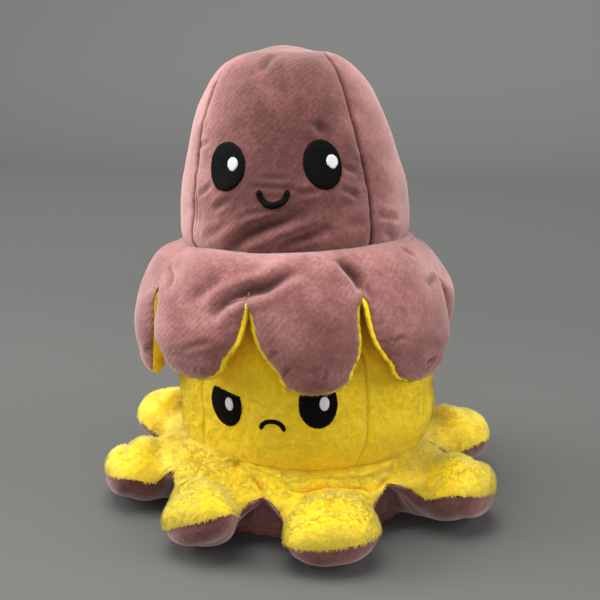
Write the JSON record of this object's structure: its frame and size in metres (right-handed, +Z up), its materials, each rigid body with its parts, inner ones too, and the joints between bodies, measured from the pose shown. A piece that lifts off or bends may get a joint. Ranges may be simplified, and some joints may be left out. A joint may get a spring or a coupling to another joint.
{
  "type": "stacked plush octopuses",
  "caption": "Frowning yellow plush octopus standing on spread stuffed legs, with a smiling mauve one sitting on its head, legs hanging down round it.",
  "frame": {"origin": "centre of the whole pair's footprint, on the surface that it stands on", "axes": "+Z up, -Y the way both faces look, +X to the toys' own left"},
  "size_m": [0.2019, 0.1999, 0.2313],
  "materials": {
    "yellow_plush": "bright yellow knitted plush with a soft pile of about 2 mm",
    "mauve_velvet": "dusty mauve short-pile velvet, lighter where it is seen edge on",
    "black_thread": "black satin-stitch embroidery with a slight sheen",
    "white_thread": "pale satin-stitch embroidery",
    "polyester_fill": "white polyester fibre fill"
  },
  "bodies": {
    "lower_toy": {"lower_front_panel": "yellow_plush", "lower_left_panel": "yellow_plush", "lower_right_panel": "yellow_plush", "lower_back_panel": "yellow_plush", "lower_head_stuffing": "polyester_fill", "lower_pocket_lining": "mauve_velvet", "lower_skirt_top": "yellow_plush", "lower_skirt_sole": "mauve_velvet", "lower_left_eye": "black_thread", "lower_right_eye": "black_thread", "lower_left_glint": "white_thread", "lower_right_glint": "white_thread", "lower_mouth": "black_thread"},
    "upper_toy": {"upper_front_panel": "mauve_velvet", "upper_left_panel": "mauve_velvet", "upper_right_panel": "mauve_velvet", "upper_back_panel": "mauve_velvet", "upper_head_stuffing": "polyester_fill", "upper_pocket_lining": "yellow_plush", "upper_skirt_top": "mauve_velvet", "upper_skirt_sole": "yellow_plush", "upper_left_eye": "black_thread", "upper_right_eye": "black_thread", "upper_left_glint": "white_thread", "upper_right_glint": "white_thread", "upper_mouth": "black_thread"},
    "lower_leg_1": {"lower_leg_1_cover": "yellow_plush", "lower_leg_1_sole": "mauve_velvet"},
    "lower_leg_2": {"lower_leg_2_cover": "yellow_plush", "lower_leg_2_sole": "mauve_velvet"},
    "lower_leg_3": {"lower_leg_3_cover": "yellow_plush", "lower_leg_3_sole": "mauve_velvet"},
    "lower_leg_4": {"lower_leg_4_cover": "yellow_plush", "lower_leg_4_sole": "mauve_velvet"},
    "lower_leg_5": {"lower_leg_5_cover": "yellow_plush", "lower_leg_5_sole": "mauve_velvet"},
    "lower_leg_6": {"lower_leg_6_cover": "yellow_plush", "lower_leg_6_sole": "mauve_velvet"},
    "lower_leg_7": {"lower_leg_7_cover": "yellow_plush", "lower_leg_7_sole": "mauve_velvet"},
    "lower_leg_8": {"lower_leg_8_cover": "yellow_plush", "lower_leg_8_sole": "mauve_velvet"},
    "upper_leg_1": {"upper_leg_1_cover": "mauve_velvet", "upper_leg_1_sole": "yellow_plush"},
    "upper_leg_2": {"upper_leg_2_cover": "mauve_velvet", "upper_leg_2_sole": "yellow_plush"},
    "upper_leg_3": {"upper_leg_3_cover": "mauve_velvet", "upper_leg_3_sole": "yellow_plush"},
    "upper_leg_4": {"upper_leg_4_cover": "mauve_velvet", "upper_leg_4_sole": "yellow_plush"},
    "upper_leg_5": {"upper_leg_5_cover": "mauve_velvet", "upper_leg_5_sole": "yellow_plush"},
    "upper_leg_6": {"upper_leg_6_cover": "mauve_velvet", "upper_leg_6_sole": "yellow_plush"},
    "upper_leg_7": {"upper_leg_7_cover": "mauve_velvet", "upper_leg_7_sole": "yellow_plush"},
    "upper_leg_8": {"upper_leg_8_cover": "mauve_velvet", "upper_leg_8_sole": "yellow_plush"}
  },
  "joints": [
    {"name": "upper_toy_lift", "type": "slide", "parent": "lower_toy", "child": "upper_toy", "axis": [0, 0, 1], "range_m": [0, 0.1]},
    {"name": "lower_leg_1_lift", "type": "hinge", "parent": "lower_toy", "child": "lower_leg_1", "pos_m": [0.02363, -0.05732, 0.03], "axis": [-0.9245, -0.3811, 0], "range_deg": [0, 50]},
    {"name": "lower_leg_2_lift", "type": "hinge", "parent": "lower_toy", "child": "lower_leg_2", "pos_m": [0.06, -0.01563, 0.03], "axis": [-0.2521, -0.9677, 0], "range_deg": [0, 50]},
    {"name": "lower_leg_3_lift", "type": "hinge", "parent": "lower_toy", "child": "lower_leg_3", "pos_m": [0.05454, 0.02949, 0.03], "axis": [0.4756, -0.8796, 0], "range_deg": [0, 50]},
    {"name": "lower_leg_4_lift", "type": "hinge", "parent": "lower_toy", "child": "lower_leg_4", "pos_m": [0.01978, 0.05876, 0.03], "axis": [0.9478, -0.319, 0], "range_deg": [0, 50]},
    {"name": "lower_leg_5_lift", "type": "hinge", "parent": "lower_toy", "child": "lower_leg_5", "pos_m": [-0.02659, 0.05601, 0.03], "axis": [0.9033, 0.4289, 0], "range_deg": [0, 50]},
    {"name": "lower_leg_6_lift", "type": "hinge", "parent": "lower_toy", "child": "lower_leg_6", "pos_m": [-0.05804, 0.02181, 0.03], "axis": [0.3518, 0.9361, 0], "range_deg": [0, 50]},
    {"name": "lower_leg_7_lift", "type": "hinge", "parent": "lower_toy", "child": "lower_leg_7", "pos_m": [-0.05811, -0.02161, 0.03], "axis": [-0.3486, 0.9373, 0], "range_deg": [0, 50]},
    {"name": "lower_leg_8_lift", "type": "hinge", "parent": "lower_toy", "child": "lower_leg_8", "pos_m": [-0.02679, -0.05591, 0.03], "axis": [-0.9018, 0.4321, 0], "range_deg": [0, 50]},
    {"name": "upper_leg_1_lift", "type": "hinge", "parent": "upper_toy", "child": "upper_leg_1", "pos_m": [0.01104, -0.04883, 0.14269], "axis": [-0.9658, -0.2578, -0.028], "range_deg": [0, 75]},
    {"name": "upper_leg_2_lift", "type": "hinge", "parent": "upper_toy", "child": "upper_leg_2", "pos_m": [0.04387, -0.02512, 0.14233], "axis": [-0.5477, -0.8355, 0.0445], "range_deg": [0, 75]},
    {"name": "upper_leg_3_lift", "type": "hinge", "parent": "upper_toy", "child": "upper_leg_3", "pos_m": [0.05203, 0.01676, 0.13909], "axis": [0.1946, -0.9762, 0.0957], "range_deg": [0, 75]},
    {"name": "upper_leg_4_lift", "type": "hinge", "parent": "upper_toy", "child": "upper_leg_4", "pos_m": [0.02639, 0.05353, 0.13452], "axis": [0.8491, -0.5205, 0.0901], "range_deg": [0, 75]},
    {"name": "upper_leg_5_lift", "type": "hinge", "parent": "upper_toy", "child": "upper_leg_5", "pos_m": [-0.01861, 0.05964, 0.13163], "axis": [0.9612, 0.2746, 0.0263], "range_deg": [0, 75]},
    {"name": "upper_leg_6_lift", "type": "hinge", "parent": "upper_toy", "child": "upper_leg_6", "pos_m": [-0.05347, 0.03109, 0.1323], "axis": [0.4574, 0.8876, -0.0538], "range_deg": [0, 75]},
    {"name": "upper_leg_7_lift", "type": "hinge", "parent": "upper_toy", "child": "upper_leg_7", "pos_m": [-0.05674, -0.01279, 0.13598], "axis": [-0.3208, 0.9419, -0.0993], "range_deg": [0, 75]},
    {"name": "upper_leg_8_lift", "type": "hinge", "parent": "upper_toy", "child": "upper_leg_8", "pos_m": [-0.02872, -0.04484, 0.14025], "axis": [-0.8917, 0.4445, -0.0857], "range_deg": [0, 75]}
  ]
}
